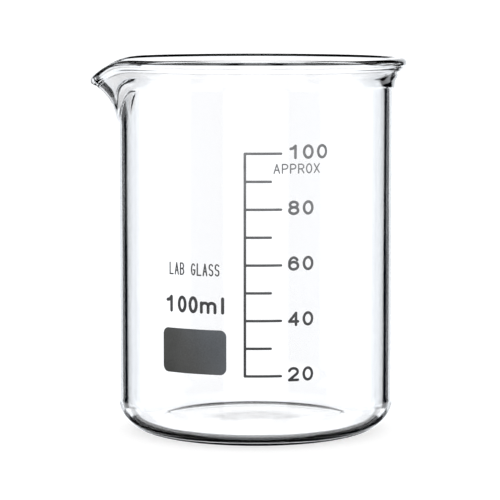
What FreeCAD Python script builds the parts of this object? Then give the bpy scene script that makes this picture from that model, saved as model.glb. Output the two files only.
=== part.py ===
import FreeCAD, Part
import math
import os

# A low-form 100 ml laboratory beaker in millimetres. The origin is the centre of the
# foot, +Z runs up the axis, the pouring spout points along -X and the scale faces -Y.

# Glass vessel
height = 70.0
wall_radius = 26.0
wall_thickness = 1.8
floor_thickness = 1.55
corner_radius = 6.5
inner_corner_radius = 4.6
foot_ring_inner_radius = 17.0
foot_dish_depth = 0.06

# Flared rim: a bend out of the wall, a straight cone that thins to a neck, and a bead
bead_radius = 0.95
rim_radius = 28.2
lip_start_height = 64.4
lip_bend_radius = 4.0
neck_thickness = 1.4
thinning_share = 0.6
bead_swell = 0.6

# Pouring spout, a smooth bulge of the rim around one azimuth
spout_azimuth = 180.0
spout_half_angle = 16.5
spout_reach = 2.75
spout_drop = 3.3
spout_lip_drop = 7.2
spout_bend_gain = 5.5

# Resolution of the lip surface
lip_base_height = 56.0
lip_columns = 144
straight_rows = 4
lip_rows = 16
bead_rows = 8

# Enamel print, placed by arc length along the wall from the front and by height
enamel_thickness = 0.06
scale_spine = -1.97
scale_bottom = 13.7
scale_step = 5.0
scale_tick_count = 9
major_tick_end = 4.75
minor_tick_end = 2.9
spine_weight = 0.48
tick_weight = 0.46
graduations = (20, 40, 60, 80, 100)
numeral_left = 5.8
numeral_width = 2.1
numeral_pitch = 2.73
numeral_height = 2.62
numeral_weight = 0.50
numeral_sink = 1.02

# Runs of lettering: text, left edge, base height, letter width, pitch, letter height, weight
approx_run = ("APPROX", 3.13, 50.1, 1.22, 1.50, 1.80, 0.24)
type_run = ("LAB GLASS", -16.71, 31.6, 0.95, 1.15, 2.30, 0.27)
capacity_runs = (
    ("1", -17.65, 24.8, 2.22, 2.22, 3.10, 0.62),
    ("00", -14.88, 24.8, 1.88, 2.26, 3.10, 0.60),
    ("m", -10.33, 24.8, 3.19, 3.19, 2.25, 0.58),
    ("l", -6.31, 24.8, 0.60, 0.60, 3.10, 0.60),
)

panel_left = -18.17
panel_right = -5.33
panel_bottom = 13.8
panel_top = 21.92
panel_corner_radius = 1.2

# Strokes in a unit box: a bar has its two ends, an oval its box and the degrees it runs through
glyph_strokes = {
    "0": [("oval", 0, 0, 1, 1, 0, 360)],
    "1": [("bar", 1, 0, 1, 1), ("bar", 0, 0.76, 0.5, 0.8), ("bar", 0.5, 0.8, 1, 1)],
    "2": [("oval", 0, 0.42, 1, 1, -40, 165), ("bar", 0.883, 0.524, 0, 0), ("bar", 0, 0, 1, 0)],
    "4": [("bar", 0.78, 0, 0.78, 1), ("bar", 0.78, 1, 0, 0.28), ("bar", 0, 0.28, 1, 0.28)],
    "6": [("oval", 0, 0, 1, 0.62, 0, 360), ("oval", 0, 0, 1, 1, 35, 180), ("bar", 0, 0.31, 0, 0.5)],
    "8": [("oval", 0, 0, 1, 0.54, 0, 360), ("oval", 0.06, 0.54, 0.94, 1, 0, 360)],
    "A": [("bar", 0, 0, 0.5, 1), ("bar", 0.5, 1, 1, 0), ("bar", 0.17, 0.34, 0.83, 0.34)],
    "B": [("bar", 0, 0, 0, 1), ("bar", 0, 1, 0.5, 1), ("bar", 0, 0.52, 0.5, 0.52), ("bar", 0, 0, 0.5, 0),
          ("oval", 0.05, 0.52, 0.95, 1, -90, 90), ("oval", 0, 0, 1, 0.52, -90, 90)],
    "G": [("oval", 0, 0, 1, 1, 45, 340), ("bar", 0.97, 0.33, 0.97, 0.45), ("bar", 0.97, 0.45, 0.55, 0.45)],
    "L": [("bar", 0, 0, 0, 1), ("bar", 0, 0, 1, 0)],
    "O": [("oval", 0, 0, 1, 1, 0, 360)],
    "P": [("bar", 0, 0, 0, 1), ("bar", 0, 1, 0.5, 1), ("bar", 0, 0.46, 0.5, 0.46),
          ("oval", 0, 0.46, 1, 1, -90, 90)],
    "R": [("bar", 0, 0, 0, 1), ("bar", 0, 1, 0.5, 1), ("bar", 0, 0.46, 0.5, 0.46),
          ("oval", 0, 0.46, 1, 1, -90, 90), ("bar", 0.55, 0.46, 1, 0)],
    "S": [("oval", 0, 0.5, 1, 1, 30, 270), ("oval", 0, 0, 1, 0.5, -150, 90)],
    "X": [("bar", 0, 0, 1, 1), ("bar", 0, 1, 1, 0)],
    "m": [("bar", 0, 0, 0, 1), ("bar", 0.5, 0, 0.5, 0.7), ("bar", 1, 0, 1, 0.7),
          ("oval", 0, 0.4, 0.5, 1, 0, 180), ("oval", 0.5, 0.4, 1, 1, 0, 180)],
    "l": [("bar", 0, 0, 0, 1)],
}

# Narrow letters: share of the letter width, and the share left free before them
narrow_glyphs = {"1": (0.66, 0.1), " ": (0.0, 0.0)}

vector = FreeCAD.Vector
inner_radius = wall_radius - wall_thickness
half_wall = wall_thickness / 2
foot_radius = wall_radius - corner_radius
middle_radius = wall_radius - half_wall


def spout_weight(azimuth):
    """One at the spout, falling to nothing round the rest of the rim."""
    away = (azimuth - spout_azimuth + 180.0) % 360.0 - 180.0
    return math.exp(-(away / spout_half_angle) ** 2)


def lip_line(weight):
    """Start height, bend radius, turn and straight run of the middle line up to the bead's centre."""
    start_height = lip_start_height - spout_lip_drop * weight
    bend = lip_bend_radius + spout_bend_gain * weight
    reach = rim_radius - bead_radius + spout_reach * weight - middle_radius
    rise = height - bead_radius - spout_drop * weight - start_height
    run = math.sqrt((reach - bend) ** 2 + rise ** 2 - bend ** 2)
    turn = math.atan2(reach - bend, rise) + math.atan2(bend, run)
    return start_height, bend, turn, run


def half_glass(share, length):
    """Half the glass at a share of the lip's length: wall, neck, then the swell to the bead."""
    thinned = min(share / thinning_share, 1.0)
    neck = half_wall + (neck_thickness / 2 - half_wall) * thinned ** 2 * (3 - 2 * thinned)
    back = (1 - share) * length
    return neck + (bead_radius - neck_thickness / 2) * math.exp(-(back / bead_swell) ** 2)


def lip_side(weight, side):
    """Radius and height up one side of the lip, 1 for outside and -1 for inside."""
    start_height, bend, turn, run = lip_line(weight)
    length = bend * turn + run
    rows = []
    for row in range(straight_rows):
        share = row / straight_rows
        rows.append((middle_radius + side * half_wall,
                     lip_base_height + share * (start_height - lip_base_height)))
    for row in range(lip_rows):
        share = row / lip_rows
        angle = min(share * length / bend, turn)
        beyond = max(share * length - bend * turn, 0.0)
        offset = side * half_glass(share, length)
        radius = middle_radius + bend * (1 - math.cos(angle)) + beyond * math.sin(turn)
        level = start_height + bend * math.sin(angle) + beyond * math.cos(turn)
        rows.append((radius + offset * math.cos(angle), level - offset * math.sin(angle)))
    return rows


def lip_bead(weight):
    """Radius and height over the bead at the end of the lip, from outside to inside."""
    start_height, bend, turn, run = lip_line(weight)
    tip_radius = middle_radius + bend * (1 - math.cos(turn)) + run * math.sin(turn)
    tip_height = start_height + bend * math.sin(turn) + run * math.cos(turn)
    step = math.pi / bead_rows
    pole_radius = bead_radius * 3 / (2 + math.cos(step))
    rows = []
    for row in range(bead_rows + 1):
        angle = row * step - turn
        rows.append((tip_radius + pole_radius * math.cos(angle), tip_height + pole_radius * math.sin(angle)))
    return rows


def lip_profile(weight):
    """The lip's skin, up the outside, over the bead and down the inside."""
    return lip_side(weight, 1) + lip_bead(weight) + lip_side(weight, -1)[::-1]


def lip_skin():
    """One surface for the whole lip: a cubic spline over the profile, closed round the axis."""
    step = 2 * math.pi / lip_columns
    pole_factor = 3 / (2 + math.cos(step))
    poles = []
    for column in range(lip_columns):
        azimuth = (column - 1) * step
        outward = vector(math.cos(azimuth), math.sin(azimuth), 0)
        ring = []
        for radius, level in lip_profile(spout_weight(math.degrees(azimuth))):
            ring.append(outward * (pole_factor * radius) + vector(0, 0, level))
        poles.append(ring)
    row_count = len(poles[0])
    round_knots = list(range(lip_columns + 1))
    round_multiplicities = [1] * (lip_columns + 1)
    row_knots = list(range(row_count - 2))
    row_multiplicities = [4] + [1] * (row_count - 4) + [4]
    surface = Part.BSplineSurface()
    surface.buildFromPolesMultsKnots(poles, round_multiplicities, row_multiplicities, round_knots, row_knots,
                                     True, False, 3, 3)
    return surface


def lower_profile():
    """Outline of wall and floor, from the lip's outer edge round the foot to its inner edge."""
    quarter = math.sqrt(0.5)
    outer_foot = vector(foot_radius, 0, 0)
    outer_corner = vector(foot_radius + corner_radius * quarter, 0, corner_radius * (1 - quarter))
    outer_wall_start = vector(wall_radius, 0, corner_radius)
    inner_foot_radius = inner_radius - inner_corner_radius
    inner_foot = vector(inner_foot_radius, 0, floor_thickness)
    inner_corner = vector(inner_foot_radius + inner_corner_radius * quarter, 0,
                          floor_thickness + inner_corner_radius * (1 - quarter))
    inner_wall_start = vector(inner_radius, 0, floor_thickness + inner_corner_radius)
    ring_edge = vector(foot_ring_inner_radius, 0, 0)
    dish_top = vector(0, 0, foot_dish_depth)
    dish_sphere = (foot_ring_inner_radius ** 2 + foot_dish_depth ** 2) / (2 * foot_dish_depth)
    half_way = foot_ring_inner_radius / 2
    dish_middle = vector(half_way, 0,
                         foot_dish_depth - dish_sphere + math.sqrt(dish_sphere ** 2 - half_way ** 2))
    edges = [
        Part.makeLine(vector(wall_radius, 0, lip_base_height), outer_wall_start),
        Part.Arc(outer_wall_start, outer_corner, outer_foot).toShape(),
        Part.makeLine(outer_foot, ring_edge),
        Part.Arc(ring_edge, dish_middle, dish_top).toShape(),
    ]
    inside = [
        Part.makeLine(vector(0, 0, floor_thickness), inner_foot),
        Part.Arc(inner_foot, inner_corner, inner_wall_start).toShape(),
        Part.makeLine(inner_wall_start, vector(inner_radius, 0, lip_base_height)),
    ]
    return edges + inside


def glass_vessel():
    """Floor, foot and wall turned about the axis, sewn to the lip."""
    axis = (vector(0, 0, 0), vector(0, 0, 1))
    faces = [lip_skin().toShape()]
    for edge in lower_profile():
        faces += edge.revolve(*axis, 360).Faces
    shell = Part.Compound(faces)
    shell.sewShape(1e-4)
    return Part.Solid(shell.Shells[0])


def bar_face(start, end, weight):
    """A straight stroke with round ends."""
    along = (end - start).normalize()
    side = vector(-along.y, along.x, 0) * (weight / 2)
    tip = along * (weight / 2)
    edges = [
        Part.makeLine(start + side, end + side),
        Part.Arc(end + side, end + tip, end - side).toShape(),
        Part.makeLine(end - side, start - side),
        Part.Arc(start - side, start - tip, start + side).toShape(),
    ]
    return Part.Face(Part.Wire(edges))


def oval_edge(centre, half_width, half_height, start, end):
    """Part of an ellipse, in degrees counter-clockwise from its right end."""
    if half_width >= half_height:
        ellipse = Part.Ellipse(centre + vector(half_width, 0, 0), centre + vector(0, half_height, 0), centre)
        turned = 0.0
    else:
        ellipse = Part.Ellipse(centre + vector(0, half_height, 0), centre - vector(half_width, 0, 0), centre)
        turned = 90.0
    return ellipse.toShape(math.radians(start - turned), math.radians(end - turned))


def oval_face(low, high, start, end, weight):
    """A stroke along an ellipse that fits a box, whole or in part."""
    centre = (low + high) * 0.5
    half_width = (high.x - low.x) / 2
    half_height = (high.y - low.y) / 2
    outer = oval_edge(centre, half_width + weight / 2, half_height + weight / 2, start, end)
    inner = oval_edge(centre, half_width - weight / 2, half_height - weight / 2, start, end)
    if end - start >= 360:
        return Part.Face(Part.Wire(outer)).cut(Part.Face(Part.Wire(inner)))
    outer_start, outer_end = (outer.valueAt(outer.FirstParameter), outer.valueAt(outer.LastParameter))
    inner_start, inner_end = (inner.valueAt(inner.FirstParameter), inner.valueAt(inner.LastParameter))
    edges = [outer, Part.makeLine(outer_end, inner_end), inner, Part.makeLine(inner_start, outer_start)]
    return Part.Face(Part.Wire(Part.sortEdges(edges)[0]))


def glyph_faces(glyph, width, glyph_height, weight):
    """Flat strokes of a glyph whose ink fills a box, centred on x and standing on y = 0."""
    reach = vector(max(width - weight, 0), glyph_height - weight, 0)
    corner = vector(-reach.x / 2, weight / 2, 0)
    faces = []
    for kind, x0, y0, x1, y1, *degrees in glyph_strokes[glyph]:
        first = corner + vector(x0 * reach.x, y0 * reach.y, 0)
        second = corner + vector(x1 * reach.x, y1 * reach.y, 0)
        if kind == "bar":
            faces.append(bar_face(first, second, weight))
        else:
            faces.append(oval_face(first, second, degrees[0], degrees[1], weight))
    return faces


def on_wall(flats, arc_position, level):
    """Enamel on the wall with the joint outline of flat faces that are drawn in x and y."""
    print_radius = wall_radius + enamel_thickness
    blocks = []
    for flat in flats:
        upright = flat.copy()
        upright.rotate(vector(0, 0, 0), vector(1, 0, 0), 90)
        upright.translate(vector(0, 0, level))
        blocks += upright.extrude(vector(0, -print_radius - 1, 0)).Solids
    joined = blocks[0]
    if len(blocks) > 1:
        joined = joined.multiFuse(blocks[1:])
    coat = Part.makeCylinder(print_radius, height).cut(Part.makeCylinder(wall_radius, height))
    enamel = joined.common(coat).removeSplitter()
    enamel.rotate(vector(0, 0, 0), vector(0, 0, 1), math.degrees(arc_position / wall_radius))
    return enamel.Solids


def lettering(run):
    """Solids of one row of lettering."""
    text, left, base, width, pitch, letter_height, weight = run
    solids = []
    for place, glyph in enumerate(text):
        if glyph == " ":
            continue
        share, lead = narrow_glyphs.get(glyph, (1.0, 0.0))
        glyph_left = left + place * pitch + lead * width
        centre = glyph_left + share * width / 2
        solids += on_wall(glyph_faces(glyph, share * width, letter_height, weight), centre, base)
    return solids


def numeral(value):
    """The figure beside a major tick, raised and lowered with it."""
    tick = 2 * graduations.index(value)
    base = scale_bottom + tick * scale_step - numeral_sink
    return lettering((str(value), numeral_left, base, numeral_width, numeral_pitch, numeral_height,
                      numeral_weight))


def flat_box(left, right, bottom, top):
    """A flat rectangle in x and y whose sides are arc lengths round the wall."""
    x0 = wall_radius * math.sin(left / wall_radius)
    x1 = wall_radius * math.sin(right / wall_radius)
    return Part.makePlane(x1 - x0, top - bottom, vector(x0, bottom, 0))


def graduation_scale():
    """The upright line with its long and short ticks, one coat of enamel."""
    half_spine = spine_weight / 2
    half_tick = tick_weight / 2
    top = scale_bottom + (scale_tick_count - 1) * scale_step
    lines = [flat_box(scale_spine - half_spine, scale_spine + half_spine, scale_bottom - half_tick,
                      top + half_tick)]
    for tick in range(scale_tick_count):
        level = scale_bottom + tick * scale_step
        end = major_tick_end if tick % 2 == 0 else minor_tick_end
        lines.append(flat_box(scale_spine - half_spine, end, level - half_tick, level + half_tick))
    return on_wall(lines, 0, 0)


def marking_panel():
    """The enamel field for a pencil note, with round corners."""
    half_width = wall_radius * math.sin((panel_right - panel_left) / 2 / wall_radius)
    panel_height = panel_top - panel_bottom
    field = Part.makePlane(2 * half_width, panel_height, vector(-half_width, 0, 0))
    block = field.extrude(vector(0, 0, 1))
    uprights = [edge for edge in block.Edges if abs(edge.tangentAt(edge.FirstParameter).z) > 0.5]
    block = block.makeFillet(panel_corner_radius, uprights)
    flat = [face for face in block.Faces if face.CenterOfMass.z < 1e-6][0]
    return on_wall([flat], (panel_left + panel_right) / 2, panel_bottom)


os.makedirs("parts", exist_ok=True)

nodes = {
    "glass_vessel": [glass_vessel()],
    "graduation_scale": graduation_scale(),
    "approx_lettering": lettering(approx_run),
    "glass_type_lettering": lettering(type_run),
    "capacity_lettering": [solid for run in capacity_runs for solid in lettering(run)],
    "marking_panel": marking_panel(),
}
for value in graduations:
    nodes["numeral_" + str(value)] = numeral(value)

for name, solids in nodes.items():
    shape = solids[0] if len(solids) == 1 else Part.Compound(solids)
    shape.exportStep("parts/" + name + ".step")
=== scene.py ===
import math

import bpy
import numpy as np
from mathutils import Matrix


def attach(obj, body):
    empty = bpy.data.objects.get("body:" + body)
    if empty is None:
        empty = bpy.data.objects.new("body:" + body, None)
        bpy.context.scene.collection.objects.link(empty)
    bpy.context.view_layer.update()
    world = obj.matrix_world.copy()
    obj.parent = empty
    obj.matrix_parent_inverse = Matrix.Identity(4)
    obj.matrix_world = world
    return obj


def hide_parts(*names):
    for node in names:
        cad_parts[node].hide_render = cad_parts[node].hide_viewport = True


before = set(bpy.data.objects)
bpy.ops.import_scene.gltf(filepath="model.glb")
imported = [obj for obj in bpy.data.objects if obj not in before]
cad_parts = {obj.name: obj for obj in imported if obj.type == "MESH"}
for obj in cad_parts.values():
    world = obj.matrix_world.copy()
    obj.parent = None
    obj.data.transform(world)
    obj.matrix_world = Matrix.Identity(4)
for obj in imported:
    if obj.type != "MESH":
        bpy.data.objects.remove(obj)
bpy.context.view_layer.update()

mm = 0.001  # shapes are worked out in millimetres and handed over in metres


def meshFromGrids(name, grids):
    # each grid is points[row, column, xyz], closed round its columns. Both end rows are drawn
    # together into a pole at their mean, so the surface is closed. A face looks along the cross
    # product of the way along its row and the way to the next row.
    points, quads, tris = [], [], []
    start = 0
    for grid in grids:
        rows, columns = grid.shape[:2]
        index = start + np.arange(rows * columns).reshape(rows, columns)
        beside = np.roll(index, -1, axis=1)
        quads.append(np.stack([index[:-1], beside[:-1], beside[1:], index[1:]], axis=-1).reshape(-1, 4))
        firstPole = start + rows * columns
        lastPole = firstPole + 1
        tris.append(np.stack([np.full(columns, firstPole), beside[0], index[0]], axis=-1))
        tris.append(np.stack([np.full(columns, lastPole), index[-1], beside[-1]], axis=-1))
        points += [grid.reshape(-1, 3), grid[0].mean(axis=0)[None], grid[-1].mean(axis=0)[None]]
        start = lastPole + 1
    points = np.concatenate(points)
    quads = np.concatenate(quads)
    tris = np.concatenate(tris)
    mesh = bpy.data.meshes.new(name)
    mesh.vertices.add(len(points))
    mesh.vertices.foreach_set("co", points.astype(np.float32).ravel())
    loops = np.concatenate([quads.ravel(), tris.ravel()]).astype(np.int32)
    sizes = np.concatenate([np.full(len(quads), 4), np.full(len(tris), 3)])
    mesh.loops.add(len(loops))
    mesh.loops.foreach_set("vertex_index", loops)
    mesh.polygons.add(len(sizes))
    starts = np.concatenate([[0], np.cumsum(sizes)[:-1]])
    mesh.polygons.foreach_set("loop_start", starts.astype(np.int32))
    mesh.polygons.foreach_set("use_smooth", np.ones(len(sizes), dtype=bool))
    mesh.update(calc_edges=True)
    mesh.validate()
    return mesh


def addPiece(name, mesh, material, node):
    piece = bpy.data.objects.new(name, mesh)
    bpy.context.scene.collection.objects.link(piece)
    piece.data.materials.append(material)
    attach(piece, "root")
    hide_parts(node)
    return piece


def newMaterial(name):
    material = bpy.data.materials.new(name)
    material.use_nodes = True
    nodes = material.node_tree.nodes
    nodes.clear()
    return material, nodes, material.node_tree.links


def addNode(nodes, kind, **values):
    # each value goes to the socket of that name, or else to the node's own setting
    node = nodes.new(kind)
    for key, value in values.items():
        if key in node.inputs:
            node.inputs[key].default_value = value
        else:
            setattr(node, key, value)
    return node


noiseLook = {"roughness": 0.55, "span": (0.3, 0.7)}


def noiseShare(nodes, links, place, scale, detail, low, high):
    # a noise over the object's own coordinates, whose usual span is brought to low ... high
    noise = addNode(nodes, "ShaderNodeTexNoise", Scale=scale, Detail=detail, Roughness=noiseLook["roughness"])
    share = addNode(nodes, "ShaderNodeMapRange")
    share.inputs["From Min"].default_value, share.inputs["From Max"].default_value = noiseLook["span"]
    share.inputs["To Min"].default_value = low
    share.inputs["To Max"].default_value = high
    links.new(place, noise.inputs["Vector"])
    links.new(noise.outputs["Fac"], share.inputs["Value"])
    return share.outputs["Result"]


def slantRamp(nodes, links, place, slant, reach, stops):
    # colours along a slanting direction, by (slant . place - low) / (high - low)
    along = addNode(nodes, "ShaderNodeVectorMath", operation="DOT_PRODUCT")
    along.inputs[1].default_value = slant
    share = addNode(nodes, "ShaderNodeMapRange")
    share.inputs["From Min"].default_value, share.inputs["From Max"].default_value = reach
    ramp = addNode(nodes, "ShaderNodeValToRGB")
    elements = ramp.color_ramp.elements
    elements.remove(elements[1])
    elements[0].position, elements[0].color = stops[0]
    for position, colour in stops[1:]:
        elements.new(position).color = colour
    links.new(place, along.inputs[0])
    links.new(along.outputs["Value"], share.inputs["Value"])
    links.new(share.outputs["Result"], ramp.inputs["Fac"])
    return ramp.outputs["Color"]


def timesColour(nodes, links, colour, factor):
    # one colour times another, or times a plain factor
    product = addNode(nodes, "ShaderNodeMixRGB", blend_type="MULTIPLY")
    product.inputs["Fac"].default_value = 1
    links.new(colour, product.inputs["Color1"])
    links.new(factor, product.inputs["Color2"])
    return product.outputs["Color"]


def bumpFrom(nodes, links, level, distance):
    # relief whose height is the level times the distance in metres
    bump = addNode(nodes, "ShaderNodeBump", Strength=1.0, Distance=distance)
    links.new(level, bump.inputs["Height"])
    return bump.outputs["Normal"]


vessel = {
    "height": 70.0,
    "wallRadius": 26.0,
    "wall": 1.8,
    "floor": 1.55,
    "outerCorner": 6.5,
    "innerCorner": 4.6,
    "ringInner": 17.0,
    "dish": 0.06,
    "beadRadius": 0.95,
    "rimRadius": 28.2,
    "lipStart": 64.4,
    "lipBend": 4.0,
    "neck": 0.70,
    "thinShare": 0.6,
    "swell": 0.6,
    "spoutHalfAngle": 16.5,
    "spoutReach": 2.72,
    "spoutDrop": 3.3,
    "spoutLipDrop": 7.2,
    "spoutBend": 5.5,
    "columns": 384,
    "poleRadius": 0.4,
}
vesselRows = {"dish": 16, "ring": 4, "corner": 24, "wall": 16, "lip": 28, "bead": 22, "floor": 12}


def lipSide(weight, side):
    # middle line of the lip: an arc that leaves the wall upright, then a straight run that meets
    # the bead's centre. With D the distance from the arc's centre to the bead's, the straight run
    # is sqrt(D^2 - bend^2) and the turn is the angle to the bead plus atan(bend / run). The skin
    # lies half the glass to one side of it: the wall thins to the neck and swells to the bead as
    # exp(-(u / swell)^2), u being the way back from the bead's centre.
    v = vessel
    middle = v["wallRadius"] - v["wall"] / 2
    start = v["lipStart"] - v["spoutLipDrop"] * weight
    bend = v["lipBend"] + v["spoutBend"] * weight
    reach = v["rimRadius"] - v["beadRadius"] + v["spoutReach"] * weight - middle
    rise = v["height"] - v["beadRadius"] - v["spoutDrop"] * weight - start
    run = np.sqrt((reach - bend) ** 2 + rise ** 2 - bend ** 2)
    turn = np.arctan2(reach - bend, rise) + np.arctan2(bend, run)
    length = bend * turn + run
    share = np.linspace(0, 1, vesselRows["lip"])[:, None]
    thin = np.clip(share / v["thinShare"], 0, 1)
    back = (1 - share) * length
    half = v["wall"] / 2 + (v["neck"] - v["wall"] / 2) * thin ** 2 * (3 - 2 * thin)
    half = half + (v["beadRadius"] - v["neck"]) * np.exp(-(back / v["swell"]) ** 2)
    angle = np.minimum(share * length / bend, turn)
    beyond = np.maximum(share * length - bend * turn, 0)
    radius = middle + bend * (1 - np.cos(angle)) + beyond * np.sin(turn)
    level = start + bend * np.sin(angle) + beyond * np.cos(turn)
    skin = (radius + side * half * np.cos(angle), level - side * half * np.sin(angle))
    return skin, (radius[-1:], level[-1:], turn)


def cornerArc(corner, radius, base):
    # quarter circle that leaves the level at radius - corner and ends upright at the radius
    turn = np.linspace(0, math.pi / 2, vesselRows["corner"])[:, None]
    return radius - corner + corner * np.sin(turn), base + corner * (1 - np.cos(turn))


def vesselGrid():
    # profile of radius and height, from the middle of the underside out and up the outside,
    # over the bead, down the inside and back to the middle of the floor, for every azimuth.
    # The spout is the same profile with its rim moved out and down by exp(-(angle / width)^2).
    v = vessel
    rows = vesselRows
    azimuth = np.arange(v["columns"]) * 2 * math.pi / v["columns"]
    away = np.degrees(azimuth - math.pi)
    weight = np.exp(-(away / v["spoutHalfAngle"]) ** 2)[None, :]
    innerRadius = v["wallRadius"] - v["wall"]
    share = np.linspace(0, 1, rows["wall"])[1:-1, None]

    dishRadius = np.linspace(v["poleRadius"], v["ringInner"], rows["dish"])[:, None]
    dish = (dishRadius, v["dish"] * (1 + np.cos(math.pi * dishRadius / v["ringInner"])) / 2)
    ringRadius = np.linspace(v["ringInner"], v["wallRadius"] - v["outerCorner"], rows["ring"])[1:-1, None]
    ring = (ringRadius, 0 * ringRadius)
    outerBend = cornerArc(v["outerCorner"], v["wallRadius"], 0.0)
    outerLip, tip = lipSide(weight, 1)
    wall = (v["wallRadius"] + 0 * share, v["outerCorner"] + share * (outerLip[1][:1] - v["outerCorner"]))
    beadTurn = np.linspace(0, math.pi, rows["bead"])[1:-1, None] - tip[2]
    bead = (tip[0] + v["beadRadius"] * np.cos(beadTurn), tip[1] + v["beadRadius"] * np.sin(beadTurn))

    innerLip = lipSide(weight, -1)[0]
    cornerTop = v["floor"] + v["innerCorner"]
    innerWall = (innerRadius + 0 * share, cornerTop + share * (innerLip[1][:1] - cornerTop))
    innerBend = cornerArc(v["innerCorner"], innerRadius, v["floor"])
    floorRadius = np.linspace(v["poleRadius"], innerRadius - v["innerCorner"], rows["floor"])[:-1, None]
    floor = (floorRadius, v["floor"] + 0 * floorRadius)

    profile = [dish, ring, outerBend, wall, outerLip, bead]
    profile += [(radius[::-1], level[::-1]) for radius, level in (innerLip, innerWall, innerBend, floor)]
    flat = np.ones_like(weight)
    radius = np.concatenate([part[0] * flat for part in profile])
    level = np.concatenate([part[1] * flat for part in profile])
    return np.stack([radius * np.cos(azimuth), radius * np.sin(azimuth), level], axis=-1) * mm


glassLook = {
    "ior": 1.473,
    "tint": ((0.0, (0.9964, 0.9972, 0.9984, 1)), (1.0, (0.9990, 0.9992, 1.0, 1))),
    "tintReach": (0.0, 0.07),
    "clear": (0.998, 1.0),
    "clearDetail": 3,
    "smudge": (0.0, 0.012),
    "smudgeScale": 120.0,
    "smudgeDetail": 4,
    "streakStretch": (1.0, 1.0, 0.12),
    "streakScale": 150.0,
    "streakDetail": 2,
    "ripple": 0.000005,
}


def clearGlass():
    # clear glass with the marks of its making: a tint that is a trace stronger low down where
    # the glass is thick, faint smudges in the roughness and long upright draw lines in the bump
    look = glassLook
    material, nodes, links = newMaterial("clearGlass")
    output = addNode(nodes, "ShaderNodeOutputMaterial")
    shader = addNode(nodes, "ShaderNodeBsdfPrincipled", IOR=look["ior"])
    shader.inputs["Transmission Weight"].default_value = 1
    place = addNode(nodes, "ShaderNodeTexCoord").outputs["Object"]
    stretch = addNode(nodes, "ShaderNodeVectorMath", operation="MULTIPLY")
    stretch.inputs[1].default_value = look["streakStretch"]
    links.new(place, stretch.inputs[0])
    tint = slantRamp(nodes, links, place, (0, 0, 1), look["tintReach"], look["tint"])
    clear = noiseShare(nodes, links, place, look["smudgeScale"], look["clearDetail"], *look["clear"])
    smudge = noiseShare(nodes, links, place, look["smudgeScale"], look["smudgeDetail"], *look["smudge"])
    upright = stretch.outputs["Vector"]
    streak = noiseShare(nodes, links, upright, look["streakScale"], look["streakDetail"], 0, 1)
    links.new(timesColour(nodes, links, tint, clear), shader.inputs["Base Color"])
    links.new(smudge, shader.inputs["Roughness"])
    links.new(bumpFrom(nodes, links, streak, look["ripple"]), shader.inputs["Normal"])
    links.new(shader.outputs["BSDF"], output.inputs["Surface"])
    return material


vesselMesh = meshFromGrids("beakerGlass", [vesselGrid()])
vesselPiece = addPiece("beakerGlass", vesselMesh, clearGlass(), "glass_vessel")
print("glass vessel made", len(vesselPiece.data.polygons))


enamel = {
    "proud": 0.05,
    "sunk": 0.02,
    "spine": -1.97,
    "bottom": 13.7,
    "step": 5.0,
    "ticks": 9,
    "majorEnd": 4.75,
    "minorEnd": 2.9,
    "spineWeight": 0.48,
    "tickWeight": 0.46,
    "crown": 6,
    "acrossRows": 11,
    "capRows": 7,
    "ovalRows": 48,
    "stationStep": 0.25,
    "blunt": 0.02,
}
numeralRun = {
    "values": (20, 40, 60, 80, 100),
    "left": 5.8,
    "width": 2.1,
    "pitch": 2.73,
    "height": 2.62,
    "weight": 0.50,
    "sink": 1.02,
}
# a run is its text, left edge, base height, letter width, pitch, letter height and stroke weight
letterRuns = {
    "approx_lettering": [("APPROX", 3.13, 50.1, 1.22, 1.50, 1.80, 0.24)],
    "glass_type_lettering": [("LAB GLASS", -16.71, 31.6, 0.95, 1.15, 2.30, 0.27)],
    "capacity_lettering": [
        ("1", -17.65, 24.8, 2.22, 2.22, 3.10, 0.62),
        ("00", -14.88, 24.8, 1.88, 2.26, 3.10, 0.60),
        ("m", -10.33, 24.8, 3.19, 3.19, 2.25, 0.58),
        ("l", -6.31, 24.8, 0.60, 0.60, 3.10, 0.60),
    ],
}
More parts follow.
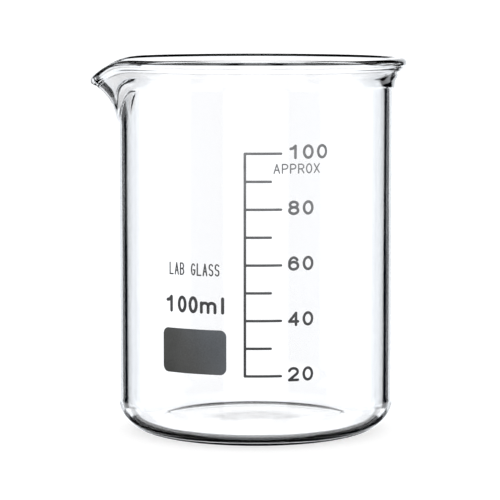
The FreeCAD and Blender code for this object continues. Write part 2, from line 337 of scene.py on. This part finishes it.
# strokes in a unit box: a bar has its two ends, an oval its box and the degrees it runs through
glyphStrokes = {
    "0": [("oval", 0, 0, 1, 1, 0, 360)],
    "1": [("bar", 1, 0, 1, 1), ("bar", 0, 0.76, 0.5, 0.8), ("bar", 0.5, 0.8, 1, 1)],
    "2": [("oval", 0, 0.42, 1, 1, -40, 165), ("bar", 0.883, 0.524, 0, 0), ("bar", 0, 0, 1, 0)],
    "4": [("bar", 0.78, 0, 0.78, 1), ("bar", 0.78, 1, 0, 0.28), ("bar", 0, 0.28, 1, 0.28)],
    "6": [("oval", 0, 0, 1, 0.62, 0, 360), ("oval", 0, 0, 1, 1, 35, 180), ("bar", 0, 0.31, 0, 0.5)],
    "8": [("oval", 0, 0, 1, 0.54, 0, 360), ("oval", 0.06, 0.54, 0.94, 1, 0, 360)],
    "A": [("bar", 0, 0, 0.5, 1), ("bar", 0.5, 1, 1, 0), ("bar", 0.17, 0.34, 0.83, 0.34)],
    "B": [("bar", 0, 0, 0, 1), ("bar", 0, 1, 0.5, 1), ("bar", 0, 0.52, 0.5, 0.52), ("bar", 0, 0, 0.5, 0),
          ("oval", 0.05, 0.52, 0.95, 1, -90, 90), ("oval", 0, 0, 1, 0.52, -90, 90)],
    "G": [("oval", 0, 0, 1, 1, 45, 340), ("bar", 0.97, 0.33, 0.97, 0.45), ("bar", 0.97, 0.45, 0.55, 0.45)],
    "L": [("bar", 0, 0, 0, 1), ("bar", 0, 0, 1, 0)],
    "O": [("oval", 0, 0, 1, 1, 0, 360)],
    "P": [("bar", 0, 0, 0, 1), ("bar", 0, 1, 0.5, 1), ("bar", 0, 0.46, 0.5, 0.46),
          ("oval", 0, 0.46, 1, 1, -90, 90)],
    "R": [("bar", 0, 0, 0, 1), ("bar", 0, 1, 0.5, 1), ("bar", 0, 0.46, 0.5, 0.46),
          ("oval", 0, 0.46, 1, 1, -90, 90), ("bar", 0.55, 0.46, 1, 0)],
    "S": [("oval", 0, 0.5, 1, 1, 30, 270), ("oval", 0, 0, 1, 0.5, -150, 90)],
    "X": [("bar", 0, 0, 1, 1), ("bar", 0, 1, 1, 0)],
    "m": [("bar", 0, 0, 0, 1), ("bar", 0.5, 0, 0.5, 0.7), ("bar", 1, 0, 1, 0.7),
          ("oval", 0, 0.4, 0.5, 1, 0, 180), ("oval", 0.5, 0.4, 1, 1, 0, 180)],
    "l": [("bar", 0, 0, 0, 1)],
}
narrowGlyphs = {"1": (0.66, 0.1)}  # share of the letter width, and the share left free before it


def onWall(along, level, lift):
    # wraps a flat point round the wall: the way along the front is an arc length, lift is how
    # far it stands out from the glass
    radius = vessel["wallRadius"] + lift
    azimuth = along / vessel["wallRadius"] - math.pi / 2
    return np.stack([radius * np.cos(azimuth), radius * np.sin(azimuth), level], axis=-1) * mm


def lengthAlong(path):
    # the way from the first point to each of the others
    return np.concatenate([[0], np.cumsum(np.linalg.norm(np.diff(path, axis=0), axis=1))])


def pointsAlong(path, run, spots):
    return np.stack([np.interp(spots, run, path[:, 0]), np.interp(spots, run, path[:, 1])], axis=-1)


def openStations(path, half):
    # stations from one round end of a stroke to the other, and the half width h at each: near an
    # end it is sqrt(h^2 - (h - e)^2), with e the way left to the very end
    run = lengthAlong(path)
    total = run[-1]
    cap = half * (1 - np.cos(np.linspace(0, math.pi / 2, enamel["capRows"])))
    count = max(int(total / enamel["stationStep"]), 2)
    between = np.linspace(0, total, count + 1)[1:-1]
    spots = np.concatenate([cap - half, between, (total + half - cap)[::-1]])
    fromEnd = np.clip(np.minimum(spots + half, total + half - spots), 0, half)
    startWay = (path[1] - path[0]) / np.linalg.norm(path[1] - path[0])
    endWay = (path[-1] - path[-2]) / np.linalg.norm(path[-1] - path[-2])
    stations = pointsAlong(path, run, np.clip(spots, 0, total))
    stations = stations + np.minimum(spots, 0)[:, None] * startWay
    stations = stations + np.maximum(spots - total, 0)[:, None] * endWay
    width = np.sqrt(np.maximum(half ** 2 - (half - fromEnd) ** 2, 0))
    return stations, np.maximum(width, enamel["blunt"] * half)


def inkRibbon(path, weight, closed):
    # a crowned strip carried along a flat path: across the stroke, c from -1 to 1, the coat is
    # proud * (1 - |c|^crown) on top and sunk into the glass below
    half = weight / 2
    if closed:
        ahead = np.roll(path, -1, axis=0) - np.roll(path, 1, axis=0)
        width = np.full(len(path), half)
    else:
        path, width = openStations(path, half)
        ahead = np.gradient(path, axis=0)
    ahead = ahead / np.linalg.norm(ahead, axis=1)[:, None]
    side = np.stack([-ahead[:, 1], ahead[:, 0]], axis=-1)
    across = np.cos(np.linspace(0, math.pi, enamel["acrossRows"]))
    lift = enamel["proud"] * (1 - np.abs(across) ** enamel["crown"])
    acrossAll = np.concatenate([across, across[1:-1][::-1]])
    liftAll = np.concatenate([lift, np.full(len(across) - 2, -enamel["sunk"])])
    flat = path[:, None, :] + side[:, None, :] * (width[:, None] * acrossAll[None, :])[..., None]
    return onWall(flat[..., 0], flat[..., 1], np.broadcast_to(liftAll, flat.shape[:2]))


def strokePath(stroke, left, base, width, height):
    # centre line of one stroke in its letter's box: a straight run, or part of an ellipse
    kind, x0, y0, x1, y1, *degrees = stroke
    low = np.array([left + x0 * width, base + y0 * height])
    high = np.array([left + x1 * width, base + y1 * height])
    if kind == "bar":
        return np.stack([low, high]), False
    turn = np.radians(np.linspace(degrees[0], degrees[1], enamel["ovalRows"]))
    middle = (low + high) / 2
    radii = (high - low) / 2
    path = middle + radii * np.stack([np.cos(turn), np.sin(turn)], axis=-1)
    closed = degrees[1] - degrees[0] >= 360
    return (path[:-1] if closed else path), closed


def letterGrids(run):
    # the strokes of a run of lettering, each letter's ink filling its own box
    text, left, base, width, pitch, height, weight = run
    grids = []
    for place, glyph in enumerate(text):
        if glyph == " ":
            continue
        share, lead = narrowGlyphs.get(glyph, (1.0, 0.0))
        glyphLeft = left + place * pitch + lead * width + weight / 2
        for stroke in glyphStrokes[glyph]:
            path, closed = strokePath(stroke, glyphLeft, base + weight / 2,
                                      max(share * width - weight, 0), height - weight)
            grids.append((inkRibbon(path, weight, closed), closed))
    return grids


def inkMesh(name, grids):
    # an open ribbon closes in poles at its ends, a closed one joins its last row to its first
    rows = [np.concatenate([grid, grid[:1]]) if closed else grid for grid, closed in grids]
    return meshFromGrids(name, rows)


coatNoise = {"ior": 1.5, "mottleDetail": 5, "grainDetail": 3, "glossDetail": 4, "glossScale": 2}
# grey ink; its slant, reach and stops are painted light and shade, the ink lighter towards the top and darker
# towards the bottom
inkLook = {
    "slant": (0.58, 0.0, 1.0),
    "paintedLightReach": (0.015, 0.060),
    "stops": ((0.07, (0.034, 0.034, 0.036, 1)), (0.30, (0.056, 0.057, 0.059, 1)),
              (0.52, (0.094, 0.096, 0.100, 1)), (0.74, (0.148, 0.151, 0.157, 1)),
              (0.97, (0.172, 0.174, 0.180, 1))),
    "mottleScale": 700.0,
    "mottle": (0.82, 1.18),
    "grainScale": 5200.0,
    "grain": (0.90, 1.10),
    "roughness": (0.38, 0.68),
    "relief": 0.00002,
}
# its slant, reach and stops are painted reflection: the panel darker on the left, lighter towards the right
# and the top
panelLook = {
    "slant": (1.0, 0.0, 0.5),
    "paintedLightReach": (-0.0112, 0.0057),
    "stops": ((0.0, (0.026, 0.026, 0.024, 1)), (0.12, (0.036, 0.037, 0.034, 1)),
              (0.45, (0.056, 0.057, 0.056, 1)), (0.75, (0.074, 0.081, 0.090, 1)),
              (1.0, (0.082, 0.090, 0.100, 1))),
    "mottleScale": 260.0,
    "mottle": (0.86, 1.14),
    "grainScale": 3800.0,
    "grain": (0.88, 1.12),
    "roughness": (0.55, 0.88),
    "relief": 0.00003,
}


def firedEnamel(name, look):
    # fired coat: painted light, a slow slanting change of tone that stands in for reflected light
    # and shade, times a cloudy mottle times a fine grain, a gloss that changes with the mottle,
    # and the grain as relief
    material, nodes, links = newMaterial(name)
    output = addNode(nodes, "ShaderNodeOutputMaterial")
    shader = addNode(nodes, "ShaderNodeBsdfPrincipled", IOR=coatNoise["ior"])
    place = addNode(nodes, "ShaderNodeTexCoord").outputs["Object"]
    # painted light and shade: the coat lighter or darker along the slant
    paintedLight = slantRamp(nodes, links, place, look["slant"], look["paintedLightReach"], look["stops"])
    mottle = noiseShare(nodes, links, place, look["mottleScale"], coatNoise["mottleDetail"], *look["mottle"])
    grain = noiseShare(nodes, links, place, look["grainScale"], coatNoise["grainDetail"], *look["grain"])
    glossScale = look["mottleScale"] * coatNoise["glossScale"]
    gloss = noiseShare(nodes, links, place, glossScale, coatNoise["glossDetail"], *look["roughness"])
    colour = timesColour(nodes, links, timesColour(nodes, links, paintedLight, mottle), grain)
    links.new(colour, shader.inputs["Base Color"])
    links.new(gloss, shader.inputs["Roughness"])
    links.new(bumpFrom(nodes, links, grain, look["relief"]), shader.inputs["Normal"])
    links.new(shader.outputs["BSDF"], output.inputs["Surface"])
    return material


greyInk = firedEnamel("greyEnamel", inkLook)


def addPrint(name, grids, node):
    # one patch of the printed scale
    piece = addPiece(name, inkMesh(name, grids), greyInk, node)
    return piece


def straightInk(x0, z0, x1, z1, weight):
    return inkRibbon(np.array([[x0, z0], [x1, z1]], dtype=float), weight, False), False


def scaleGrids():
    # the upright line, and ticks to its right that are long and short by turns
    e = enamel
    top = e["bottom"] + (e["ticks"] - 1) * e["step"]
    grids = [straightInk(e["spine"], e["bottom"], e["spine"], top, e["spineWeight"])]
    for tick in range(e["ticks"]):
        level = e["bottom"] + tick * e["step"]
        end = (e["majorEnd"] if tick % 2 == 0 else e["minorEnd"]) - e["tickWeight"] / 2
        grids.append(straightInk(e["spine"], level, end, level, e["tickWeight"]))
    return grids


addPrint("scaleLines", scaleGrids(), "graduation_scale")
for place, value in enumerate(numeralRun["values"]):
    r = numeralRun
    base = enamel["bottom"] + 2 * place * enamel["step"] - r["sink"]
    run = (str(value), r["left"], base, r["width"], r["pitch"], r["height"], r["weight"])
    addPrint(f"scaleNumber{value}", letterGrids(run), f"numeral_{value}")
for node, runs in letterRuns.items():
    grids = [grid for run in runs for grid in letterGrids(run)]
    addPrint(node.replace("_lettering", "Print"), grids, node)
print("enamel print made")


panel = {
    "left": -18.17,
    "right": -5.33,
    "bottom": 13.8,
    "top": 21.92,
    "corner": 1.2,
    "columns": 192,
    "cornerPoints": 13,
    "crown": 24,
    "innerRings": (0.03, 0.94, 14),
    "edgeRings": (0.965, 0.98, 0.99, 0.996, 1.0),
}


def panelOutline():
    # a rectangle with round corners, an arc about each of four centres, with extra points along it
    p = panel
    halfWidth = (p["right"] - p["left"]) / 2 - p["corner"]
    halfHeight = (p["top"] - p["bottom"]) / 2 - p["corner"]
    turn = np.linspace(0, math.pi / 2, p["cornerPoints"])
    corners = []
    for quarter, (sx, sz) in enumerate(((1, 1), (-1, 1), (-1, -1), (1, -1))):
        angle = turn + quarter * math.pi / 2
        corners.append(np.stack([sx * halfWidth + p["corner"] * np.cos(angle),
                                 sz * halfHeight + p["corner"] * np.sin(angle)], axis=-1))
    loop = np.concatenate(corners + [corners[0][:1]])
    run = lengthAlong(loop)
    spots = np.union1d(run[:-1], np.linspace(0, run[-1], p["columns"], endpoint=False))
    return pointsAlong(loop, run, spots)


def panelGrid():
    # rings at shares of the way from the middle to the outline: the face is crowned by
    # proud * (1 - share^crown), the back is sunk into the glass
    p = panel
    middle = np.array([(p["left"] + p["right"]) / 2, (p["bottom"] + p["top"]) / 2])
    share = np.concatenate([np.linspace(*p["innerRings"]), p["edgeRings"]])
    lift = enamel["proud"] * (1 - share ** p["crown"])
    share = np.concatenate([share, share[::-1][1:]])
    lift = np.concatenate([lift, np.full(len(lift) - 1, -enamel["sunk"])])
    flat = middle + share[:, None, None] * panelOutline()[None]
    return onWall(flat[..., 0], flat[..., 1], np.broadcast_to(lift[:, None], flat.shape[:2]))


panelMesh = meshFromGrids("markingPanel", [panelGrid()])
panelPiece = addPiece("markingPanel", panelMesh, firedEnamel("panelEnamel", panelLook), "marking_panel")
print("marking panel made")


studio = {
    "floorReach": 5.0,
    "floorColour": (0.36, 0.36, 0.36, 1),
    "floorRoughness": 0.9,
    "floorGlow": 0.73,
    "glowColour": (1, 1, 1, 1),
    "skyColour": (1, 1, 1, 1),
    "skyStrength": 1.25,
}


def paleFloor():
    # soft pale paper with a glow of its own, so that the shadow at the foot stays light
    material, nodes, links = newMaterial("palePaper")
    output = addNode(nodes, "ShaderNodeOutputMaterial")
    shader = addNode(nodes, "ShaderNodeBsdfPrincipled", Roughness=studio["floorRoughness"])
    shader.inputs["Base Color"].default_value = studio["floorColour"]
    shader.inputs["Emission Color"].default_value = studio["glowColour"]
    shader.inputs["Emission Strength"].default_value = studio["floorGlow"]
    links.new(shader.outputs["BSDF"], output.inputs["Surface"])
    return material


def addFloor():
    # the glass is lit by the tent alone, so the floor isn't seen through it or mirrored in it
    reach = studio["floorReach"]
    corners = [(-reach, -reach, 0), (reach, -reach, 0), (reach, reach, 0), (-reach, reach, 0)]
    mesh = bpy.data.meshes.new("studioFloor")
    mesh.from_pydata(corners, [], [(0, 1, 2, 3)])
    floor = bpy.data.objects.new("studioFloor", mesh)
    bpy.context.scene.collection.objects.link(floor)
    mesh.materials.append(paleFloor())
    floor.visible_transmission = False
    floor.visible_glossy = False


def addSky():
    world = bpy.data.worlds.new("softSky")
    bpy.context.scene.world = world
    world.use_nodes = True
    background = world.node_tree.nodes["Background"]
    background.inputs["Color"].default_value = studio["skyColour"]
    background.inputs["Strength"].default_value = studio["skyStrength"]


addFloor()
addSky()
bpy.context.scene.view_settings.view_transform = "Standard"

camera = {
    "distance": 0.4967,
    "height": 0.08498,
    "side": -0.00105,
    "down": 5.879,
    "lens": 190.84,
    "sensor": 36,
    "clipEnd": 50,
}
cameraData = bpy.data.cameras.new("camera")
cameraData.lens = camera["lens"]
cameraData.sensor_width = camera["sensor"]
cameraData.clip_end = camera["clipEnd"]
cameraPiece = bpy.data.objects.new("camera", cameraData)
cameraPiece.location = (camera["side"], -camera["distance"], camera["height"])
cameraPiece.rotation_euler = (math.radians(90 - camera["down"]), 0, 0)
bpy.context.scene.collection.objects.link(cameraPiece)
bpy.context.scene.camera = cameraPiece


# A light tent that stays put. Its colours go by angle in degrees: the turn from the nearest of
# some white windows with black flags between them, and the height over the horizon, for the
# quarter behind the object and for the rest.
tent = {
    "radius": 3.0,
    "height": 0.035,
    "columns": 96,
    "rows": 64,
    "poleTilt": 0.02,
    "power": 1.5,
    "levelWindows": 4,
    "levelAside": ((0, (0.735, 0.738, 0.748, 1)), (6, (0.77, 0.782, 0.80, 1)), (13, (0.83, 0.86, 0.895, 1)),
                   (25.5, (0.83, 0.86, 0.895, 1)), (28, (0.001, 0.0015, 0.003, 1))),
    "lowWindows": 8,
    "lowAside": ((0, (0.78, 0.79, 0.81, 1)), (13, (0.83, 0.86, 0.895, 1)), (16, (0.02, 0.02, 0.022, 1))),
    "lowEdge": (-12.0, -10.5),
    "footEdge": (-65.0, -60.0),
    "behind": ((-21, (0.002, 0.002, 0.002, 1)), (-19, (1, 1, 1, 1)), (20, (1, 1, 1, 1)),
               (22, (0.002, 0.002, 0.002, 1)), (64, (0.002, 0.002, 0.002, 1)), (76, (1, 1, 1, 1))),
    "around": ((20, (1, 1, 1, 1)), (22, (0.002, 0.002, 0.002, 1)), (64, (0.002, 0.002, 0.002, 1)),
               (76, (1, 1, 1, 1))),
    "behindEdge": (0.20, 0.25),
    "footColour": (0.83, 0.86, 0.895, 1),
}


def tentSurface():
    # a sphere round the object, a grid of turn round its own Z and angle from that axis
    turn = np.linspace(0, 2 * math.pi, tent["columns"], endpoint=False)[None, :]
    tilt = np.linspace(tent["poleTilt"], math.pi - tent["poleTilt"], tent["rows"])[:, None]
    unit = [np.sin(tilt) * np.cos(turn), np.sin(tilt) * np.sin(turn), np.cos(tilt) + 0 * turn]
    return np.stack(unit, axis=-1)[:, ::-1] * tent["radius"]


def shareBetween(nodes, links, value, low, high):
    share = addNode(nodes, "ShaderNodeMapRange")
    share.inputs["From Min"].default_value = low
    share.inputs["From Max"].default_value = high
    links.new(value, share.inputs["Value"])
    return share.outputs["Result"]


def angleRamp(nodes, links, angle, low, high, stops):
    # colours at angles in degrees, spread over low to high
    share = shareBetween(nodes, links, angle, math.radians(low), math.radians(high))
    ramp = addNode(nodes, "ShaderNodeValToRGB")
    elements = ramp.color_ramp.elements
    elements.remove(elements[1])
    elements[0].position = (stops[0][0] - low) / (high - low)
    elements[0].color = stops[0][1]
    for degrees, colour in stops[1:]:
        elements.new((degrees - low) / (high - low)).color = colour
    links.new(share, ramp.inputs["Fac"])
    return ramp.outputs["Color"]


def blendColours(nodes, links, share, first, second):
    blend = addNode(nodes, "ShaderNodeMixRGB", blend_type="MIX")
    links.new(share, blend.inputs["Fac"])
    links.new(first, blend.inputs["Color1"])
    links.new(second, blend.inputs["Color2"])
    return blend.outputs["Color"]


def windowsAside(nodes, links, turn, windows, stops):
    # the turn, 0 to pi, folded back to the nearest of evenly spaced windows
    fold = addNode(nodes, "ShaderNodeMath", operation="PINGPONG")
    fold.inputs[1].default_value = math.pi / windows
    links.new(turn, fold.inputs[0])
    return angleRamp(nodes, links, fold.outputs["Value"], 0, 180 / windows, stops)


def tentLight():
    # light by direction from the middle of the tent: the turn is |atan2(x, y)| and the height is
    # asin(z). Few wide windows at the level of the object, more and narrower ones lower down,
    # plain light at the foot, all times the tone at that height.
    t = tent
    material, nodes, links = newMaterial("tentCloth")
    output = addNode(nodes, "ShaderNodeOutputMaterial")
    glow = addNode(nodes, "ShaderNodeEmission", Strength=t["power"])
    place = addNode(nodes, "ShaderNodeTexCoord")
    unit = addNode(nodes, "ShaderNodeVectorMath", operation="NORMALIZE")
    split = addNode(nodes, "ShaderNodeSeparateXYZ")
    turn = addNode(nodes, "ShaderNodeMath", operation="ARCTAN2")
    positive = addNode(nodes, "ShaderNodeMath", operation="ABSOLUTE")
    rise = addNode(nodes, "ShaderNodeMath", operation="ARCSINE")
    foot = addNode(nodes, "ShaderNodeRGB")
    foot.outputs["Color"].default_value = t["footColour"]
    links.new(place.outputs["Object"], unit.inputs[0])
    links.new(unit.outputs["Vector"], split.inputs["Vector"])
    links.new(split.outputs["X"], turn.inputs[0])
    links.new(split.outputs["Y"], turn.inputs[1])
    links.new(turn.outputs["Value"], positive.inputs[0])
    links.new(split.outputs["Z"], rise.inputs[0])
    turned = positive.outputs["Value"]
    height = rise.outputs["Value"]
    level = windowsAside(nodes, links, turned, t["levelWindows"], t["levelAside"])
    low = windowsAside(nodes, links, turned, t["lowWindows"], t["lowAside"])
    lowEdge = shareBetween(nodes, links, height, *np.radians(t["lowEdge"]))
    footEdge = shareBetween(nodes, links, height, *np.radians(t["footEdge"]))
    behindEdge = shareBetween(nodes, links, split.outputs["Y"], *t["behindEdge"])
    aside = blendColours(nodes, links, lowEdge, low, level)
    aside = blendColours(nodes, links, footEdge, foot.outputs["Color"], aside)
    around = angleRamp(nodes, links, height, -90, 90, t["around"])
    behind = angleRamp(nodes, links, height, -90, 90, t["behind"])
    upward = blendColours(nodes, links, behindEdge, around, behind)
    links.new(timesColour(nodes, links, aside, upward), glow.inputs["Color"])
    links.new(glow.outputs["Emission"], output.inputs["Surface"])
    return material


def addTent():
    # only the glass sees the tent, in what it bends and mirrors
    cloth = bpy.data.objects.new("lightTent", meshFromGrids("lightTent", [tentSurface()]))
    bpy.context.scene.collection.objects.link(cloth)
    cloth.data.materials.append(tentLight())
    cloth.location = (0, 0, tent["height"])
    cloth.visible_camera = False
    cloth.visible_diffuse = False
    cloth.visible_shadow = False
    cloth.visible_volume_scatter = False


addTent()
print("studio made")
